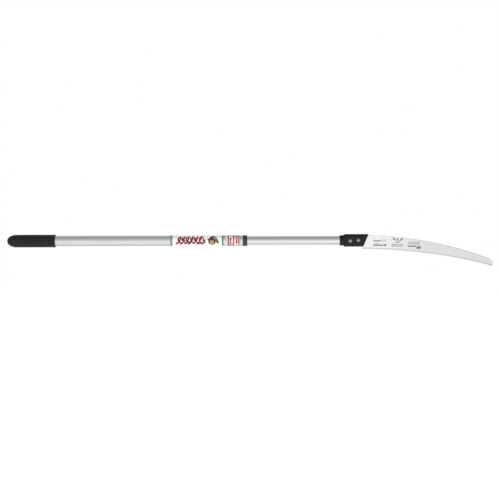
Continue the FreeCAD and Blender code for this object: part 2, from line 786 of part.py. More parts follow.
def grind_faces(body):
    """Thins both sides towards the spine by a wedge turned about the centre of the tooth arc."""
    low = "edge_r + grind_low"
    high = "edge_r + edge_drop + spine_top + 2"
    half = "blade_thick / 2"
    for side in (1, -1):
        wedge = add_outline(
            new_sketch(body, "YZ_Plane", TOOTH_ARC_CENTRE, (Vector(1, 0, 0), "grind_start")),
            [
                (f"{side} * {half}", low),
                (f"{side} * ({half} + 1)", low),
                (f"{side} * ({half} + 1)", high),
                (f"{side} * ({half} - spine_thin)", high),
            ],
        )
        groove = body.newObject("PartDesign::Groove", "saw_blade_grind")
        groove.Profile = wedge
        groove.ReferenceAxis = (wedge, ["H_Axis"])
        groove.Angle = 30.0
        wedge.Visibility = False
        doc.recompute()


def cut_teeth(body):
    """Gullets in two sets, bevelled opposite ways, so that every tooth is a point on one side."""
    half_flat = "tooth_flat / 2"
    for number, way in enumerate((1, -1)):
        first = f"-(tooth_start + {number} * tooth_pitch) / edge_r * 180 / pi"
        notch = add_outline(
            new_sketch(body, "XZ_Plane", TOOTH_ARC_CENTRE, (Vector(0, 0, 1), first)),
            [
                (half_flat, "edge_r - 1"),
                (f"tooth_pitch - {half_flat}", "edge_r - 1"),
                (f"tooth_pitch - {half_flat}", "edge_r"),
                ("gullet_at", "edge_r + tooth_deep"),
                (half_flat, "edge_r"),
            ],
        )
        gullet = extrude(body, notch, "blade_thick * 4", cut=True, both_ways=True)
        gullet.UseCustomVector = True
        gullet.Direction = Vector(way * math.tan(math.radians(value("fleam"))), 1, 0)
        doc.recompute()
        polar(body, gullet, (notch, ["N_Axis"]), TOOTH_PAIRS, "2 * tooth_pitch / edge_r * 180 / pi", True)


# ---------------------------------------------------------------- blade fasteners
def make_bolts():
    """Two button-head socket screws; their heads are on the left side."""
    seat = "(head_thick / 2 - spot_deep)"
    bolts = []
    for number in range(2):
        body = doc.addObject("PartDesign::Body", f"blade_bolt_{number + 1}")
        screw = turn(
            body,
            [
                ("-bolt_head_high", "0"),
                ("-bolt_head_high", "bolt_head_od / 2 - 2.3"),
                ("-0.6", "bolt_head_od / 2"),
                ("0", "bolt_head_od / 2"),
                ("0", "bolt_od / 2"),
                ("bolt_long - 0.7", "bolt_od / 2"),
                ("bolt_long", "bolt_od / 2 - 0.7"),
                ("bolt_long", "0"),
            ],
            arcs={1: ("bolt_head_od / 2", 1)},
        )
        socket = hexagon(new_sketch(body, "YZ_Plane", ("0", "0", "-bolt_head_high")), "bolt_socket")
        extrude(body, socket, "socket_deep", cut=True, backwards=True)
        at_bolt(body, number, f"-{seat} - washer_thick")
        bolts.append(body)
    return group("blade_bolts", bolts)


def make_washers():
    """A flat washer under each bolt head and each nut."""
    seat = "(head_thick / 2 - spot_deep)"
    washers = []
    for number in range(2):
        for across in (f"-{seat} - washer_thick", seat):
            body = doc.addObject("PartDesign::Body", f"washer_{len(washers) + 1}")
            turn(body, rectangle("0", "washer_thick", "bolt_od / 2 + hole_gap", "washer_od / 2"))
            at_bolt(body, number, across)
            washers.append(body)
    return group("flat_washers", washers)


def make_lock_nuts():
    """Hexagon nuts, each with a round crown that holds a nylon insert."""
    seat = "(head_thick / 2 - spot_deep + washer_thick)"
    bore = "bolt_od / 2 + 0.02"
    nuts, inserts = [], []
    for number in range(2):
        nut = doc.addObject("PartDesign::Body", f"lock_nut_{number + 1}")
        extrude(nut, hexagon(new_sketch(nut, "YZ_Plane"), "nut_flats"), "nut_hex_high")
        crown_r = "nut_flats / 2 - 0.3"
        lip = "nut_high - 0.4"
        turn(
            nut,
            [
                ("nut_hex_high - 1", "bolt_od / 2 - 1"),
                ("nut_hex_high - 1", crown_r),
                ("nut_high - 0.6", crown_r),
                ("nut_high", f"{crown_r} - 0.6"),
                ("nut_high", "bolt_od / 2 - 1"),
            ],
        )
        turn(nut, rectangle("-1", "nut_high + 1", "0", bore), cut=True)
        turn(nut, rectangle(f"{lip} - insert_long", lip, "1", "insert_od / 2 + 0.02"), cut=True)
        at_bolt(nut, number, seat)
        nuts.append(nut)
        ring = doc.addObject("PartDesign::Body", f"nut_insert_{number + 1}")
        turn(ring, rectangle(f"{lip} - insert_long", lip, bore, "insert_od / 2"))
        at_bolt(ring, number, seat)
        inserts.append(ring)
    group("lock_nuts", nuts)
    group("nut_inserts", inserts)


# ---------------------------------------------------------------- the whole saw
def build():
    make_grip()
    make_butt_plug()
    make_outer_tube()
    make_mouth_collar()
    make_labels()
    make_stud_plug()
    make_plug_pin()
    make_lock_stud()
    make_stop_nut()
    make_expander_sleeve()
    make_expander_cone()
    make_drag_ring()
    make_inner_tube()
    mirror_across_pole("holder_right", make_holder())
    mirror_across_pole("packer_right", make_packer())
    make_blade()
    make_bolts()
    make_washers()
    make_lock_nuts()


NODES = [
    "grip_sleeve",
    "butt_plug",
    "outer_tube",
    "mouth_collar",
    "main_label",
    "badge_label",
    "stud_plug",
    "plug_pin",
    "lock_stud",
    "stop_nut",
    "expander_sleeve",
    "expander_cone",
    "drag_ring",
    "inner_tube",
    "holder_left",
    "holder_right",
    "packer_left",
    "packer_right",
    "saw_blade",
    "blade_bolts",
    "flat_washers",
    "lock_nuts",
    "nut_inserts",
]


def export():
    """Checks every object and writes one STEP file per node."""
    doc.recompute()
    for thing in doc.Objects:
        assert not {"Invalid", "Error"} & set(thing.State), f"{thing.Name} failed: {thing.State}"
    os.makedirs("parts", exist_ok=True)
    for name in NODES:
        shape = doc.getObject(name).Shape
        assert not shape.isNull() and shape.isValid(), f"{name} has no valid shape"
        assert shape.Solids, f"{name} has no solid"
        shape.exportStep(f"parts/{name}.step")
        print(f"{name}: {len(shape.Solids)} solid(s), {shape.Volume:.1f} mm3")


build()
export()
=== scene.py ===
import math
import random

import bmesh
import bpy
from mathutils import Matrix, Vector
from mathutils.bvhtree import BVHTree


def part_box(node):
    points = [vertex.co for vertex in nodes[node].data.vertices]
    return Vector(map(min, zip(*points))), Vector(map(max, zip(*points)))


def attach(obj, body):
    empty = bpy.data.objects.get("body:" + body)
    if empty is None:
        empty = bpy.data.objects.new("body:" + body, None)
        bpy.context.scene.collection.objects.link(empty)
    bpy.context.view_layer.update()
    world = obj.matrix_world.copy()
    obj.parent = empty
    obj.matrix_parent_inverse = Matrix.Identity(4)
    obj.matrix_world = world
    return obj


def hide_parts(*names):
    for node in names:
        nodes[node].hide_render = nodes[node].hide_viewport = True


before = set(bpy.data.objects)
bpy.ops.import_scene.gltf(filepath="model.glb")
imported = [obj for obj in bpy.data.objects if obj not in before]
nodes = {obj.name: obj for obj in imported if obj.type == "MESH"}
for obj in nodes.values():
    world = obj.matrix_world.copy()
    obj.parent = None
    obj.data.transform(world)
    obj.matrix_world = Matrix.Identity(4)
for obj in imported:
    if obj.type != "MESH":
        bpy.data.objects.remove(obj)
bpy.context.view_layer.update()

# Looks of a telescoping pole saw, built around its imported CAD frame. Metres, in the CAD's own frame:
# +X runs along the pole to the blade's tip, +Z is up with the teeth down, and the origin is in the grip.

MM = 0.001
scene = bpy.context.scene

TUBE_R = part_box("outer_tube")[1].z
LABEL_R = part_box("main_label")[1].z
GRIP_BACK, GRIP_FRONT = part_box("grip_sleeve")[0].x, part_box("grip_sleeve")[1].x
HEEL_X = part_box("holder_left")[1].x

# The blade's two arcs, as the CAD has them: their centres lie straight below the front bolt.
BOLT_HEAD_R = 4.5 * MM
BOLT_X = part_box("blade_bolts")[1].x - BOLT_HEAD_R
EDGE_R = 1.438
EDGE_CENTRE_Z = -0.0237 - EDGE_R
SPINE_R = 1.012
SPINE_CENTRE_Z = 0.0146 - SPINE_R

# Prints are thin films that stand a hair clear of what they are printed on. Lines that go round the tube stop
# short of its back, under the label's overlap.
PRINT_GAP = 0.01 * MM
FILM = 0.05 * MM
ETCH_FILM = 0.02 * MM
PRINT_R = LABEL_R + PRINT_GAP
HALF_GIRTH = math.pi * PRINT_R - 0.5 * MM


# ---------------------------------------------------------------- camera, light and floor
def make_camera():
    """Side-on from 3 m with a long lens, turned a touch, so that the pole slopes as a hung tool would."""
    distance = 3.0
    width_seen = 1.350
    middle_x, middle_z = 0.5783, -0.0254
    roll = math.radians(0.13)
    data = bpy.data.cameras.new("camera")
    data.sensor_width = 36.0
    data.lens = data.sensor_width * distance / width_seen
    data.clip_end = 60
    camera = bpy.data.objects.new("camera", data)
    scene.collection.objects.link(camera)
    camera.location = (middle_x, -distance, middle_z)
    camera.rotation_euler = (math.pi / 2, roll, 0)
    scene.camera = camera


def set_range(node, start, stop, low, high):
    """Sets a Map Range node so that it carries start..stop to low..high."""
    for name, amount in zip(("From Min", "From Max", "To Min", "To Max"), (start, stop, low, high)):
        node.inputs[name].default_value = amount


def make_world():
    """Pure white behind the object. It reflects a room that is brightest low in front and dimmest above."""
    world = bpy.data.worlds.new("studio")
    scene.world = world
    world.use_nodes = True
    tree = world.node_tree
    tree.nodes.clear()
    new, link = tree.nodes.new, tree.links.new
    way = new("ShaderNodeTexCoord")

    def lobe(towards, start, stop, low, high):
        """Brightness that rises smoothly from low to high towards a direction."""
        dot = new("ShaderNodeVectorMath")
        dot.operation = "DOT_PRODUCT"
        dot.inputs[1].default_value = Vector(towards).normalized()
        link(way.outputs["Generated"], dot.inputs[0])
        step = new("ShaderNodeMapRange")
        step.interpolation_type = "SMOOTHSTEP"
        set_range(step, start, stop, low, high)
        link(dot.outputs["Value"], step.inputs["Value"])
        return step.outputs["Result"]

    def background():
        made = new("ShaderNodeBackground")
        made.inputs["Color"].default_value = (1, 1, 1, 1)
        return made

    def plus(first, second):
        added = new("ShaderNodeMath")
        added.operation = "ADD"
        link(first, added.inputs[0])
        link(second, added.inputs[1])
        return added.outputs[0]

    room = lobe((0, -0.4, -0.9), -0.85, 0.6, 0.36, 0.82)
    front = lobe((0, -0.74, -0.67), 0.25, 1.0, 0.0, 0.24)
    behind = lobe((0, 0.87, 0.5), 0.4, 1.0, 0.0, 0.36)
    total = plus(plus(room, front), behind)
    reflected = background()
    link(total, reflected.inputs["Strength"])
    seen = background()
    path = new("ShaderNodeLightPath")
    pick = new("ShaderNodeMixShader")
    link(path.outputs["Is Camera Ray"], pick.inputs[0])
    link(reflected.outputs[0], pick.inputs[1])
    link(seen.outputs[0], pick.inputs[2])
    out = new("ShaderNodeOutputWorld")
    link(pick.outputs[0], out.inputs[0])


def make_light(name, place, target, size, power, mirrored=True):
    """A soft rectangular light that the camera doesn't see, nor the metal where mirrored is off."""
    data = bpy.data.lights.new(name, "AREA")
    data.shape = "RECTANGLE"
    data.size, data.size_y = size
    data.energy = power
    light = bpy.data.objects.new(name, data)
    scene.collection.objects.link(light)
    light.location = place
    light.rotation_euler = (Vector(target) - Vector(place)).to_track_quat("-Z", "Y").to_euler()
    light.visible_camera = False
    light.visible_glossy = mirrored


def make_floor():
    """A pale floor well below the hung tool, so large that its edge fades into the white behind."""
    below, side = 1.25, 60
    bpy.ops.mesh.primitive_plane_add(size=side, location=(0.58, 0, -below))
    floor = bpy.context.object
    floor.name = "floor"
    floor.visible_glossy = False
    mat = bpy.data.materials.new("floor_white")
    mat.use_nodes = True
    bsdf = mat.node_tree.nodes["Principled BSDF"]
    bsdf.inputs["Base Color"].default_value = (0.9, 0.9, 0.9, 1)
    bsdf.inputs["Roughness"].default_value = 0.9
    bsdf.inputs["Emission Color"].default_value = (1, 1, 1, 1)
    bsdf.inputs["Emission Strength"].default_value = 0.7
    floor.data.materials.append(mat)


# ---------------------------------------------------------------- materials
class Finish:
    """A material on a Principled shader, with short calls for the textures that the finishes here share.

    Coordinates are the object's own, in metres, and frequencies are in cycles per metre along X, Y and Z.
    """

    def __init__(self, name, metallic=0.0, specular=0.5, coat=0.0, coat_roughness=0.2):
        self.mat = bpy.data.materials.new(name)
        self.mat.use_nodes = True
        self.tree = self.mat.node_tree
        self.bsdf = self.tree.nodes["Principled BSDF"]
        self.bsdf.inputs["Metallic"].default_value = metallic
        self.bsdf.inputs["Specular IOR Level"].default_value = specular
        self.bsdf.inputs["Coat Weight"].default_value = coat
        self.bsdf.inputs["Coat Roughness"].default_value = coat_roughness
        self.place = self.node("ShaderNodeTexCoord").outputs["Object"]

    def node(self, kind, **settings):
        made = self.tree.nodes.new(kind)
        for key, setting in settings.items():
            setattr(made, key, setting)
        return made

    def feed(self, socket, source):
        """Links an output into a socket, or sets the socket to a plain value."""
        if isinstance(source, bpy.types.NodeSocket):
            self.tree.links.new(source, socket)
        else:
            socket.default_value = source

    def calculate(self, operation, first, second=0.0):
        made = self.node("ShaderNodeMath", operation=operation)
        self.feed(made.inputs[0], first)
        self.feed(made.inputs[1], second)
        return made.outputs[0]

    def axis(self, letter):
        made = self.node("ShaderNodeSeparateXYZ")
        self.feed(made.inputs[0], self.place)
        return made.outputs[letter]

    def from_centre(self, across, centre_z):
        """Height above a centre, and the distance from it, in the XZ plane."""
        up = self.calculate("SUBTRACT", self.axis("Z"), centre_z)
        squares = [self.calculate("MULTIPLY", part, part) for part in (across, up)]
        return up, self.calculate("SQRT", self.calculate("ADD", *squares))

    def noise(self, frequency, detail=3.0, vector=None, seed=0.0):
        """Noise from 0 to 1 whose grain is set for each axis."""
        scaled = self.node("ShaderNodeMapping")
        self.feed(scaled.inputs["Vector"], vector or self.place)
        scaled.inputs["Location"].default_value = (seed, seed, seed)
        scaled.inputs["Scale"].default_value = frequency
        made = self.node("ShaderNodeTexNoise")
        self.feed(made.inputs["Vector"], scaled.outputs[0])
        made.inputs["Scale"].default_value = 1.0
        made.inputs["Detail"].default_value = detail
        made.inputs["Roughness"].default_value = 0.55
        return made.outputs["Fac"]

    def cells(self, frequency):
        """Distance to the nearest of scattered points, for a pebbled grain."""
        made = self.node("ShaderNodeTexVoronoi")
        self.feed(made.inputs["Vector"], self.place)
        made.inputs["Scale"].default_value = frequency
        return made.outputs["Distance"]

    def span(self, source, low, high, start=0.3, stop=0.7, smooth=False):
        """Carries start..stop of a source to low..high."""
        made = self.node("ShaderNodeMapRange")
        if smooth:
            made.interpolation_type = "SMOOTHSTEP"
        self.feed(made.inputs["Value"], source)
        set_range(made, start, stop, low, high)
        return made.outputs["Result"]

    def blend(self, share, first, second):
        """A colour between two, each a tuple or an output."""
        made = self.node("ShaderNodeMix", data_type="RGBA")
        self.feed(made.inputs[0], share)
        for socket, colour in ((made.inputs[6], first), (made.inputs[7], second)):
            self.feed(socket, (*colour, 1) if isinstance(colour, tuple) else colour)
        return made.outputs[2]

    def colour(self, source):
        self.feed(self.bsdf.inputs["Base Color"], source)

    def roughness(self, source):
        self.feed(self.bsdf.inputs["Roughness"], source)

    def relief(self, height, depth, strength=1.0):
        """Bumps of that depth in metres, on top of any relief that was given before."""
        made = self.node("ShaderNodeBump")
        made.inputs["Strength"].default_value = strength
        made.inputs["Distance"].default_value = depth
        self.feed(made.inputs["Height"], height)
        before = self.bsdf.inputs["Normal"].links
        if before:
            self.feed(made.inputs["Normal"], before[0].from_socket)
        self.feed(self.bsdf.inputs["Normal"], made.outputs[0])


def anodised_tube(name, tone, shade, roughness):
    """Drawn aluminium: long fine die lines along the pole under a satin anodised skin."""
    look = Finish(name, metallic=1.0)
    lines = look.noise((6, 1400, 1400), detail=4)
    clouds = look.noise((14, 40, 40), detail=2)
    look.colour(look.blend(look.span(lines, 0.0, 1.0), tone, shade))
    fine = look.span(lines, roughness - 0.04, roughness + 0.06)
    look.roughness(look.calculate("ADD", fine, look.span(clouds, -0.02, 0.03)))
    look.relief(lines, 0.004 * MM)
    return look.mat


def moulded(name, tone, shade, roughness, grain=0.02 * MM, frequency=1800, specular=0.5):
    """A moulded plastic or rubber: a fine spark-eroded grain, and slight clouds in its colour and gloss."""
    look = Finish(name, specular=specular)
    clouds = look.noise((45, 45, 45), detail=4)
    pebble = look.cells(frequency)
    look.colour(look.blend(look.span(clouds, 0.0, 1.0), tone, shade))
    look.roughness(look.span(look.noise((260, 260, 260)), roughness - 0.06, roughness + 0.08))
    look.relief(pebble, grain)
    look.relief(clouds, 0.05 * MM, 0.4)
    return look.mat


def plated_steel(name, tone, shade, roughness):
    """Zinc-plated steel: small crystalline patches and tool marks."""
    look = Finish(name, metallic=1.0)
    patches = look.noise((500, 500, 500), detail=4)
    marks = look.noise((900, 900, 900), detail=3, seed=3.0)
    look.colour(look.blend(look.span(patches, 0.0, 1.0), tone, shade))
    look.roughness(look.span(marks, roughness - 0.06, roughness + 0.1))
    look.relief(marks, 0.01 * MM)
    return look.mat


def ground_blade():
    """Satin plated spring steel: grinding lines along its arc, hardened teeth, colour painted darker towards
    the tip, and painted shade along the back edge.
    """
    look = Finish("blade_satin", metallic=0.8)
    across = look.calculate("SUBTRACT", look.axis("X"), BOLT_X)
    up, reach = look.from_centre(across, EDGE_CENTRE_Z)
    height = look.calculate("SUBTRACT", reach, EDGE_R)
    along = look.calculate("MULTIPLY", look.calculate("ARCTAN2", across, up), EDGE_R)
    unrolled = look.node("ShaderNodeCombineXYZ")
    look.feed(unrolled.inputs[0], along)
    look.feed(unrolled.inputs[1], height)
    lines = look.noise((22, 3200, 1), detail=5, vector=unrolled.outputs[0])
    broad = look.noise((9, 160, 1), detail=2, vector=unrolled.outputs[0], seed=7.0)

    # Towards the tip the grind gets coarser, so roughness rises there. The colour also darkens towards the
    # tip: that part is painted shade, standing in for how the light falls along the blade.
    grind_and_painted_shade = look.span(along, 0.0, 1.0, 0.02, 0.22, smooth=True)
    satin = look.blend(grind_and_painted_shade, (0.89, 0.895, 0.90), (0.75, 0.75, 0.765))
    streaked = look.blend(look.span(lines, 0.0, 0.2), satin, (0.5, 0.5, 0.51))

    edge_line = look.calculate("ADD", height, look.span(broad, -0.4 * MM, 0.4 * MM))
    tooth_band = look.span(edge_line, 1.0, 0.0, 3.9 * MM, 5.2 * MM, smooth=True)
    hardened = look.calculate("MULTIPLY", tooth_band, look.span(along, 0.72, 0.5, 0.02, 0.16))
    banded = look.blend(hardened, streaked, (0.42, 0.42, 0.45))

    # Painted shade: a dark band in the last 1.6 mm below the spine, for the rolled back corner in shadow,
    # stronger further out along the blade.
    _spine_up, spine_reach = look.from_centre(across, SPINE_CENTRE_Z)
    spine_shade_band = look.span(spine_reach, 0.0, 1.0, SPINE_R - 1.6 * MM, SPINE_R - 0.7 * MM, smooth=True)
    painted_spine_shade = look.calculate("MULTIPLY", spine_shade_band, look.span(along, 0.3, 0.85, 0.03, 0.30))
    look.colour(look.blend(painted_spine_shade, banded, (0.30, 0.30, 0.32)))

    rough = look.calculate("ADD", look.span(lines, 0.24, 0.36), look.span(grind_and_painted_shade, 0.0, 0.08, 0, 1))
    look.roughness(look.calculate("ADD", rough, look.span(hardened, 0.0, 0.1, 0, 1)))
    look.relief(lines, 0.006 * MM)
    return look.mat


def printed_film(name, middle, ends, node):
    """A satin label film whose ground fades from its middle towards its ends."""
    low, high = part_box(node)
    look = Finish(name, specular=0.45, coat=0.25, coat_roughness=0.25)
    from_middle = look.calculate("ABSOLUTE", look.calculate("SUBTRACT", look.axis("X"), (low.x + high.x) / 2))
    half = (high.x - low.x) / 2
    fade = look.span(from_middle, 0.0, 1.0, half * 0.45, half)
    fibres = look.noise((700, 700, 700), detail=3)
    ground = look.blend(fade, middle, ends)
    look.colour(look.blend(look.span(fibres, 0.0, 0.06), ground, (0.55, 0.58, 0.56)))
    look.roughness(look.span(fibres, 0.34, 0.46))
    look.relief(look.noise((160, 160, 160)), 0.02 * MM, 0.5)
    return look.mat


def ink(name, tone, shade, roughness=0.4):
    """Printed or etched colour, slightly uneven as screen print is."""
    look = Finish(name, specular=0.4)
    spread = look.noise((420, 420, 420), detail=4)
    look.colour(look.blend(look.span(spread, 0.0, 1.0), tone, shade))
    look.roughness(look.span(spread, roughness - 0.05, roughness + 0.1))
    return look.mat


def dress(node, mat):
    """Gives a CAD node one material all over."""
    mesh = nodes[node].data
    mesh.materials.clear()
    mesh.materials.append(mat)


def dress_cad_nodes():
    """A finish for every CAD node that stays, seen or hidden."""
    dress("outer_tube", anodised_tube("tube_outer", (0.80, 0.80, 0.80), (0.70, 0.70, 0.705), 0.47))
    dress("inner_tube", anodised_tube("tube_inner", (0.80, 0.795, 0.82), (0.69, 0.685, 0.715), 0.33))
    collar = moulded("collar_black", (0.017, 0.018, 0.019), (0.027, 0.028, 0.030), 0.42, specular=0.37)
    dress("mouth_collar", collar)
    dress("butt_plug", moulded("plug_black", (0.02, 0.02, 0.022), (0.03, 0.03, 0.033), 0.55))
    deep, dark = (0.004, 0.004, 0.005), (0.009, 0.009, 0.010)
    holder = moulded("holder_black", deep, dark, 0.45, 0.05 * MM, 1300, 0.25)
    dress("holder_left", holder)
    dress("holder_right", holder)
    packer = moulded("packer_black", (0.02, 0.02, 0.022), (0.03, 0.03, 0.033), 0.6)
    dress("packer_left", packer)
    dress("packer_right", packer)
    dress("saw_blade", ground_blade())
    dress("blade_bolts", plated_steel("bolt_zinc", (0.46, 0.46, 0.46), (0.34, 0.34, 0.34), 0.34))
    dress("flat_washers", plated_steel("washer_zinc", (0.26, 0.26, 0.27), (0.2, 0.2, 0.2), 0.4))
    dress("lock_nuts", plated_steel("nut_zinc", (0.70, 0.70, 0.67), (0.56, 0.56, 0.55), 0.34))
    dress("nut_inserts", moulded("insert_blue", (0.10, 0.16, 0.42), (0.13, 0.20, 0.5), 0.45))
    natural = moulded("nylon_natural", (0.72, 0.69, 0.60), (0.62, 0.59, 0.5), 0.45)
    dress("stud_plug", natural)
    dress("lock_stud", natural)
    dress("plug_pin", plated_steel("pin_spring_steel", (0.42, 0.42, 0.44), (0.3, 0.3, 0.32), 0.35))
    dress("stop_nut", plated_steel("stop_nut_zinc", (0.70, 0.69, 0.62), (0.55, 0.54, 0.5), 0.34))
    dress("expander_sleeve", moulded("sleeve_grey", (0.10, 0.10, 0.11), (0.14, 0.14, 0.15), 0.5))
    dress("expander_cone", moulded("cone_orange", (0.55, 0.17, 0.03), (0.42, 0.12, 0.02), 0.45))
    dress("drag_ring", moulded("ring_black", (0.012, 0.012, 0.012), (0.02, 0.02, 0.02), 0.6))
    dress("main_label", printed_film("label_film", (0.82, 0.81, 0.79), (0.67, 0.77, 0.72), "main_label"))
    dress("badge_label", printed_film("badge_film", (0.80, 0.69, 0.68), (0.60, 0.47, 0.48), "badge_label"))


# ---------------------------------------------------------------- meshes
def new_piece(name, bm, mat, body, smooth_under=math.radians(35)):
    """Turns a bmesh into an object with one material that rides on a body. Sharper edges stay sharp."""
    bmesh.ops.recalc_face_normals(bm, faces=bm.faces)
    for edge in bm.edges:
        edge.smooth = len(edge.link_faces) == 2 and edge.calc_face_angle(0) < smooth_under
    for face in bm.faces:
        face.smooth = True
    mesh = bpy.data.meshes.new(name)
    bm.to_mesh(mesh)
    bm.free()
    mesh.materials.append(mat)
    piece = bpy.data.objects.new(name, mesh)
    scene.collection.objects.link(piece)
    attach(piece, body)
    return piece


def lathe(profile, around, radius_at):
    """A closed turned body about the X axis. Its profile starts and ends on the axis.

    radius_at gives the radius for a profile point and an angle, because the shape isn't quite round.
    """
    bm = bmesh.new()
    rings = []
    for point in profile[1:-1]:
        ring = []
        for k in range(around):
            angle = math.tau * k / around
            r = radius_at(point, angle)
            ring.append(bm.verts.new((point[0], r * math.cos(angle), r * math.sin(angle))))
        rings.append(ring)
    for first, second in zip(rings, rings[1:]):
        for k in range(around):
            after = (k + 1) % around
            bm.faces.new((first[k], first[after], second[after], second[k]))
    for ring, (x, *_rest) in ((rings[0], profile[0]), (rings[-1], profile[-1])):
        pole = bm.verts.new((x, 0, 0))
        for k in range(around):
            bm.faces.new((pole, ring[k], ring[(k + 1) % around]))
    return bm


# ---------------------------------------------------------------- grip
FLUTES = 20
FLUTE_DEPTH = 0.8 * MM
RIM_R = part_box("grip_sleeve")[1].y
GRIP_R = RIM_R - 0.4 * MM
RIM_LONG = 6.0 * MM
RIM_EDGE_R = 1.2 * MM
CUFF_LONG = 17 * MM
NOSE_LONG = 23.0 * MM
NOSE_TIP_R = 10 * MM
NOSE_SHOULDER_R = 30 * MM
GROOVE_WIDE = 1.6 * MM
GROOVE_DEEP = 0.7 * MM


def grip_outline():
    """The grip's profile from the nose round to the inside, as place, radius and flute strength."""
    shoulder_x = GRIP_BACK + NOSE_LONG
    tip_x = GRIP_BACK + NOSE_TIP_R
    tip_height = math.sqrt((NOSE_SHOULDER_R - NOSE_TIP_R) ** 2 - (shoulder_x - tip_x) ** 2)
    tip_centre_r = tip_height - (NOSE_SHOULDER_R - GRIP_R)
    turn = math.atan2(tip_height, tip_x - shoulder_x)
    points = [(GRIP_BACK, 0.0, 0), (GRIP_BACK, tip_centre_r / 2, 0)]
    points += arc(tip_x, tip_centre_r, NOSE_TIP_R, math.pi, turn, range(13))
    points += arc(shoulder_x, GRIP_R - NOSE_SHOULDER_R, NOSE_SHOULDER_R, turn, math.pi / 2, range(1, 9))

    groove_back = shoulder_x + 2.5 * MM
    cuff_back = GRIP_FRONT - CUFF_LONG
    rim_back = GRIP_FRONT - RIM_LONG
    for start in (groove_back, cuff_back):
        points += ring_groove(start)
    barrel_start, barrel_stop = groove_back + 2.6 * MM, cuff_back - 1.0 * MM
    points += flute_run(barrel_start, barrel_stop, 5 * MM)
    cuff_start, cuff_stop = cuff_back + 2.4 * MM, rim_back - 0.8 * MM
    points += flute_run(cuff_start, cuff_stop, 1.2 * MM)
    points.sort(key=lambda point: point[:2])

    lip_r = RIM_EDGE_R / 2
    points.append((rim_back, GRIP_R, 0))
    points += arc(rim_back + lip_r, RIM_R - lip_r, lip_r, math.pi, math.pi / 2, range(5))
    points += arc(GRIP_FRONT - RIM_EDGE_R, RIM_R - RIM_EDGE_R, RIM_EDGE_R, math.pi / 2, 0, range(7))

    bore = TUBE_R + 0.03 * MM
    floor_x, floor_r = GRIP_BACK + 16 * MM, 8 * MM
    hollow_x, hollow_r = GRIP_BACK + 5 * MM, 5 * MM
    inside = ((GRIP_FRONT, bore), (floor_x, bore), (floor_x, floor_r), (hollow_x, hollow_r), (hollow_x, 0.0))
    return points + [(x, r, 0) for x, r in inside]


def arc(centre_x, centre_r, radius, start, stop, steps):
    """Points of the profile along an arc, without flutes. steps is a range whose last number is the end."""
    angles = [start + (stop - start) * k / steps[-1] for k in steps]
    return [(centre_x + radius * math.cos(a), centre_r + radius * math.sin(a), 0) for a in angles]


def ring_groove(start):
    """A round-bottomed groove round the grip, with a ring at GRIP_R just before it and just after it."""
    beside = 0.3 * MM
    steps = 8
    made = [(start - beside, GRIP_R, 0), (start + GROOVE_WIDE + beside, GRIP_R, 0)]
    for k in range(steps + 1):
        share = k / steps
        made.append((start + GROOVE_WIDE * share, GRIP_R - GROOVE_DEEP * math.sin(math.pi * share), 0))
    return made


def flute_run(start, stop, fade):
    """Rings along a fluted stretch; the flutes start and stop within the fade's length."""
    made = []
    steps = 8
    for k in range(steps + 1):
        share = k / steps
        strength = share * share * (3 - 2 * share)
        made.append((start + fade * share, GRIP_R, strength))
        made.append((stop - fade * share, GRIP_R, strength))
    return made


def make_grip():
    """The soft black sleeve: a domed nose, ring grooves, lengthwise flutes and a rolled rim."""

    def fluted(point, angle):
        _x, r, strength = point
        groove = 0.5 - 0.5 * math.cos(FLUTES * angle)
        return r - FLUTE_DEPTH * strength * groove**2

    bm = lathe(grip_outline(), FLUTES * 10, fluted)
    deep, dark = (0.0045, 0.0055, 0.0065), (0.009, 0.0105, 0.0115)
    look = moulded("grip_vinyl", deep, dark, 0.42, 0.03 * MM, 1500, 0.24)
    grip = new_piece("grip", bm, look, "outer_pole", math.radians(50))
    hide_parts("grip_sleeve")


# ---------------------------------------------------------------- prints, as thin closed films
def sheet_of(outlines, strip):
    """Flat faces from outlines in the XY plane, cut across Y into strips of that width so that they bend."""
    bm = bmesh.new()
    for outline in outlines:
        bm.faces.new([bm.verts.new((x, y, 0)) for x, y in outline])
    bmesh.ops.triangulate(bm, faces=bm.faces)
    lowest = min(v.co.y for v in bm.verts)
    highest = max(v.co.y for v in bm.verts)
    for k in range(1, int((highest - lowest) / strip) + 1):
        everything = bm.verts[:] + bm.edges[:] + bm.faces[:]
        cut = (0, lowest + k * strip, 0)
        bmesh.ops.bisect_plane(bm, geom=everything, plane_co=cut, plane_no=(0, 1, 0))
    return bm


def thicken(bm, outward):
    """Gives the film its thickness and closes its rim. outward gives the outer point for an inner point."""
    faces = bm.faces[:]
    inner = {v: v for face in faces for v in face.verts}
    outer = {v: bm.verts.new(outward(v.co)) for v in inner}
    rims = [edge for edge in bm.edges if len(edge.link_faces) == 1]
    for face in faces:
        bm.faces.new([outer[v] for v in face.verts])
    for edge in rims:
        a, b = edge.verts
        bm.faces.new((a, b, outer[b], outer[a]))


def print_on_tube(name, outlines, mat, radius):
    """Wraps outlines, along and round the tube from the middle of its front, at that radius."""
    strip = 0.9 * MM
    bm = sheet_of(outlines, strip)
    for v in bm.verts:
        angle = v.co.y / radius
        v.co = (v.co.x, -radius * math.cos(angle), radius * math.sin(angle))
    grown = 1 + FILM / radius
    thicken(bm, lambda p: Vector((p.x, p.y * grown, p.z * grown)))
    piece = new_piece(name, bm, mat, "outer_pole")


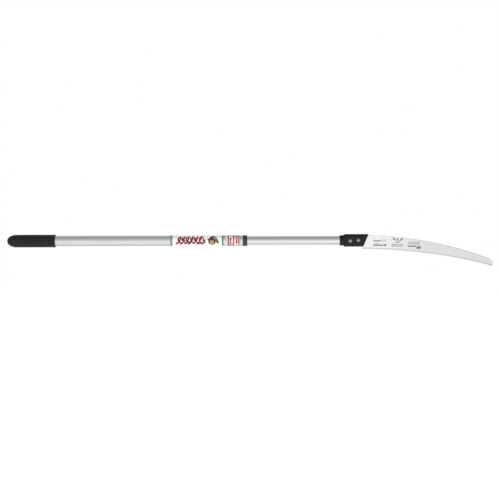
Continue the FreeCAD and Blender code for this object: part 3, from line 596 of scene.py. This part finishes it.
def print_on_blade(name, outlines, mat):
    """Lays outlines, in X and Z, on the blade's left face."""
    blade = nodes["saw_blade"].data
    tree = BVHTree.FromPolygons([v.co for v in blade.vertices], [p.vertices for p in blade.polygons])
    strip, well_clear = 4 * MM, 50 * MM
    bm = sheet_of(outlines, strip)
    for v in bm.verts:
        hit = tree.ray_cast(Vector((v.co.x, -well_clear, v.co.y)), Vector((0, 1, 0)))[0]
        v.co = hit - Vector((0, PRINT_GAP, 0))
    thicken(bm, lambda p: p - Vector((0, ETCH_FILM, 0)))
    piece = new_piece(name, bm, mat, "inner_pole")


def box_outline(x, y, width, height):
    """A rectangle from its lower left corner."""
    return [(x, y), (x + width, y), (x + width, y + height), (x, y + height)]


def ring_line(x, width):
    """A line right round the tube, from the x of its back edge."""
    return box_outline(x, -HALF_GIRTH, width, 2 * HALF_GIRTH)


def leaf_outline(x, y, length, width, tilt, bend=0.0):
    """A pointed leaf centred at a place and turned by tilt; bend curves its midrib."""
    edge = []
    steps = 12
    for side in (1, -1):
        for k in range(steps):
            share = k / steps if side == 1 else 1 - k / steps
            out = side * width / 2 * math.sin(math.pi * share) ** 0.8 + bend * math.sin(math.pi * share)
            edge.append(((share - 0.5) * length, out))
    c, s = math.cos(tilt), math.sin(tilt)
    return [(x + u * c - v * s, y + u * s + v * c) for u, v in edge]


def disc_outline(x, y, radius, points=28, wobble=0.0):
    """A disc, or a rough one with seven lobes."""
    made = []
    for k in range(points):
        angle = math.tau * k / points
        r = radius * (1 + wobble * math.sin(7 * angle))
        made.append((x + r * math.cos(angle), y + r * math.sin(angle)))
    return made


def make_overlap(name, node):
    """The strip at the back where a label laps over its own edge."""
    low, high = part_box(node)
    lap = 8 * MM
    strip = [box_outline(low.x, math.pi * LABEL_R - lap / 2, high.x - low.x, lap)]
    print_on_tube(name, strip, nodes[node].data.materials[0], PRINT_R + FILM)


def make_label_prints():
    """The main label: end lines, a garland of red leaves, and a cut log with leaves."""
    low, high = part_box("main_label")
    back_lines = [ring_line(low.x + 0.5 * MM, 3.4 * MM), ring_line(low.x + 5.2 * MM, 0.9 * MM)]
    graphite = ink("ink_graphite", (0.022, 0.034, 0.031), (0.035, 0.048, 0.045))
    print_on_tube("label_back_lines", back_lines, graphite, PRINT_R)
    green = ink("ink_green", (0.02, 0.11, 0.075), (0.03, 0.14, 0.095))
    print_on_tube("label_front_line", [ring_line(high.x - 4.4 * MM, 3.9 * MM)], green, PRINT_R)
    make_garland(low.x + 20 * MM, low.x + 91 * MM)
    make_log(low.x + 112 * MM)
    make_overlap("label_overlap", "main_label")


def make_garland(first, last):
    """Red leaves in three staggered rows, each with a vein, and small dark leaves between them."""
    rng = random.Random(11)
    leaves = 20
    row_apart = 7.6 * MM
    bend = 0.9 * MM
    vein_wide = 0.7 * MM
    small_long, small_wide, small_turn = 8 * MM, 3.4 * MM, 1.4
    big, small, veins = [], [], []
    for k in range(leaves):
        x = first + (last - first) * k / (leaves - 1)
        lift = (k % 3 - 1) * row_apart + rng.uniform(-1.2, 1.2) * MM
        lean = math.radians((28, 78, 128)[(k * 2) % 3] + rng.uniform(-16, 16))
        length = rng.uniform(14, 17) * MM
        big.append(leaf_outline(x, lift, length, rng.uniform(5.6, 7.0) * MM, lean, bend))
        veins.append(leaf_outline(x, lift, length * 0.8, vein_wide, lean, bend))
        small_x, small_lift = x + 1.5 * MM, -lift * 0.8 + 0.6 * MM
        small.append(leaf_outline(small_x, small_lift, small_long, small_wide, lean + small_turn))
    red = ink("ink_crimson", (0.36, 0.022, 0.045), (0.27, 0.014, 0.03))
    deep_red = ink("ink_deep_red", (0.24, 0.016, 0.032), (0.18, 0.012, 0.024))
    dark_red = ink("ink_dark_red", (0.11, 0.014, 0.022), (0.08, 0.01, 0.015))
    print_on_tube("label_leaves", big[::2], red, PRINT_R)
    print_on_tube("label_lower_leaves", big[1::2], deep_red, PRINT_R + FILM)
    print_on_tube("label_small_leaves", small, dark_red, PRINT_R + 2 * FILM)
    print_on_tube("label_leaf_veins", veins, dark_red, PRINT_R + 3 * FILM)


def make_log(x):
    """A cut log seen from its end, with a dark leaf over it, a twig behind and two olive leaves in front."""
    bark = [
        disc_outline(x, -2.5 * MM, 10.4 * MM, 36, 0.05),
        leaf_outline(x + 1 * MM, 8.5 * MM, 21 * MM, 8 * MM, 0.45, 1.2 * MM),
        leaf_outline(x - 10 * MM, 4 * MM, 9 * MM, 3.6 * MM, 2.5),
    ]
    brown = ink("ink_brown", (0.05, 0.03, 0.018), (0.085, 0.052, 0.028))
    print_on_tube("label_bark", bark, brown, PRINT_R)
    wood = [disc_outline(x - 0.6 * MM, -5.2 * MM, 6.3 * MM)]
    tan = ink("ink_tan", (0.37, 0.28, 0.18), (0.27, 0.19, 0.12))
    print_on_tube("label_wood", wood, tan, PRINT_R + FILM)
    leaves = [
        leaf_outline(x + 12.5 * MM, -2 * MM, 18 * MM, 8.4 * MM, -0.95, 1 * MM),
        leaf_outline(x + 11 * MM, 6 * MM, 11 * MM, 4.6 * MM, 1.9),
    ]
    olive = ink("ink_olive", (0.075, 0.07, 0.035), (0.115, 0.105, 0.052))
    print_on_tube("label_olive_leaves", leaves, olive, PRINT_R + 2 * FILM)


def arrow_outline(x, height, half_width, stem, points_up):
    """A straight arrow round the tube, centred on the front."""
    turn = 1 if points_up else -1
    head = half_width * 1.6
    shape = [(-stem, -height), (stem, -height), (stem, height - head), (half_width, height - head)]
    shape += [(0, height), (-half_width, height - head), (-stem, height - head)]
    return [(x + turn * px, turn * py) for px, py in shape]


def make_badge_prints():
    """The badge: a red frame with two windows, each with an arrow for one way of turning the lock."""
    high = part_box("badge_label")[1]
    left, right = high.x - 32.1 * MM, high.x - 1.4 * MM
    rise = 18.0 * MM
    bar = 3.4 * MM
    window_high = 2 * (rise - bar)
    middle, half_bar = (left + right) / 2, 2.1 * MM
    frame_bars = [
        box_outline(left + bar, -rise, right - left - bar, bar),
        box_outline(left + bar, rise - bar, right - left - bar, bar),
        box_outline(right - bar, bar - rise, bar, window_high),
        box_outline(middle - half_bar, bar - rise, 2 * half_bar, window_high),
    ]
    offset = (right - left) / 4 - 0.2 * MM
    height, half_width, stem = 10.5 * MM, 3.4 * MM, 1.5 * MM
    arrows = [
        arrow_outline(middle - offset, height, half_width, stem, True),
        arrow_outline(middle + offset, height, half_width, stem, False),
    ]
    scarlet = ink("ink_scarlet", (0.36, 0.095, 0.10), (0.29, 0.065, 0.07))
    print_on_tube("badge_frame", frame_bars + arrows, scarlet, PRINT_R + FILM)
    maroon = ink("ink_maroon", (0.15, 0.040, 0.045), (0.12, 0.030, 0.033))
    back_bar = [box_outline(left, -rise, bar, 2 * rise)]
    print_on_tube("badge_back_bar", back_bar, maroon, PRINT_R + FILM)
    tint = 6.5 * MM
    tints = [
        ring_line(left - 3.0 * MM, 1.8 * MM),
        box_outline(left + bar, bar - rise, middle - half_bar - left - bar, tint),
        box_outline(middle + half_bar, rise - bar - tint, right - bar - middle - half_bar, tint),
    ]
    rose = ink("ink_rose", (0.52, 0.32, 0.33), (0.46, 0.27, 0.28))
    print_on_tube("badge_tints", tints, rose, PRINT_R)
    make_overlap("badge_overlap", "badge_label")


def dashes(rng, x, z, length, height):
    """A row of short strokes of uneven length, as fine print looks from afar."""
    made = []
    reach, gap = x, 0.5 * MM
    while reach < x + length:
        width = rng.uniform(1.2, 3.6) * MM
        made.append(box_outline(reach, z, min(width, x + length - reach), height))
        reach += width + gap
    return made


def make_blade_prints():
    """Grey etched marks near the heel: rows of strokes, a sprig over a bar, and a ruled block."""
    rng = random.Random(5)
    rows_x = HEEL_X + 13 * MM
    sprig_x = rows_x + 66 * MM
    block_x = rows_x + 94 * MM
    grey = ink("etch_grey", (0.07, 0.07, 0.075), (0.11, 0.11, 0.115), 0.55)
    pale = ink("etch_pale", (0.27, 0.27, 0.28), (0.34, 0.34, 0.35), 0.55)

    rows = dashes(rng, rows_x, -3.0 * MM, 22 * MM, 3.0 * MM)
    rows += dashes(rng, rows_x, -15.0 * MM, 29 * MM, 3.6 * MM)
    rows.append(disc_outline(rows_x + 32.8 * MM, -12.9 * MM, 2.9 * MM, 16))
    print_on_blade("etched_rows", rows, grey)
    fine = dashes(rng, rows_x + 24 * MM, -0.4 * MM, 13 * MM, 1.8 * MM)
    fine += dashes(rng, rows_x + 24 * MM, -4.6 * MM, 11 * MM, 1.8 * MM)
    fine += dashes(rng, rows_x + 2 * MM, -9.8 * MM, 14 * MM, 2.0 * MM)
    print_on_blade("etched_fine_rows", fine, pale)

    spread, out, bend = math.radians(34), 9 * MM, 0.9 * MM
    sprig = [
        leaf_outline(sprig_x - out, 2.2 * MM, 15 * MM, 3.4 * MM, -spread, bend),
        leaf_outline(sprig_x + out, 2.2 * MM, 15 * MM, 3.4 * MM, spread, -bend),
        leaf_outline(sprig_x, 2.6 * MM, 8 * MM, 3.4 * MM, math.radians(90)),
        box_outline(sprig_x - 4.8 * MM, -6.6 * MM, 9.6 * MM, 2.8 * MM),
    ]
    print_on_blade("etched_sprig", sprig, grey)
    ticks = []
    for k in range(-5, 6):
        tall = rng.uniform(4.5, 8.0) * MM
        ticks.append(leaf_outline(sprig_x + k * 2.9 * MM, -12.4 * MM, tall, 2.6 * MM, rng.uniform(0.9, 2.2)))
    ticks += dashes(rng, sprig_x - 16 * MM, -17.6 * MM, 32 * MM, 1.8 * MM)
    print_on_blade("etched_sprig_row", ticks, pale)

    rule_apart, rule_high = 1.35 * MM, 0.8 * MM
    ruled = [box_outline(block_x, -11.6 * MM + k * rule_apart, 33 * MM, rule_high) for k in range(6)]
    print_on_blade("etched_block", ruled, pale)
    heavy = [box_outline(block_x - 1 * MM, -17.6 * MM, 24 * MM, 3.0 * MM)]
    heavy += dashes(rng, block_x + 24 * MM, -17.4 * MM, 10 * MM, 2.4 * MM)
    heavy.append(box_outline(block_x + 22.5 * MM, -22.8 * MM, 12 * MM, 4.2 * MM))
    print_on_blade("etched_bar", heavy, grey)


# ---------------------------------------------------------------- the scene
make_camera()
make_world()
make_light("key", (0.5, -2.0, -1.0), (0.6, 0, 0), (2.6, 0.4), 2.5)
make_light("fill", (0.58, -2.4, 0.3), (0.58, 0, 0), (2.8, 1.6), 26, mirrored=False)
make_light("top", (0.3, 0.9, 2.2), (0.6, 0, 0), (2.0, 1.0), 5, mirrored=False)
make_floor()
scene.view_settings.view_transform = "Standard"

dress_cad_nodes()
make_grip()
make_label_prints()
make_badge_prints()
make_blade_prints()
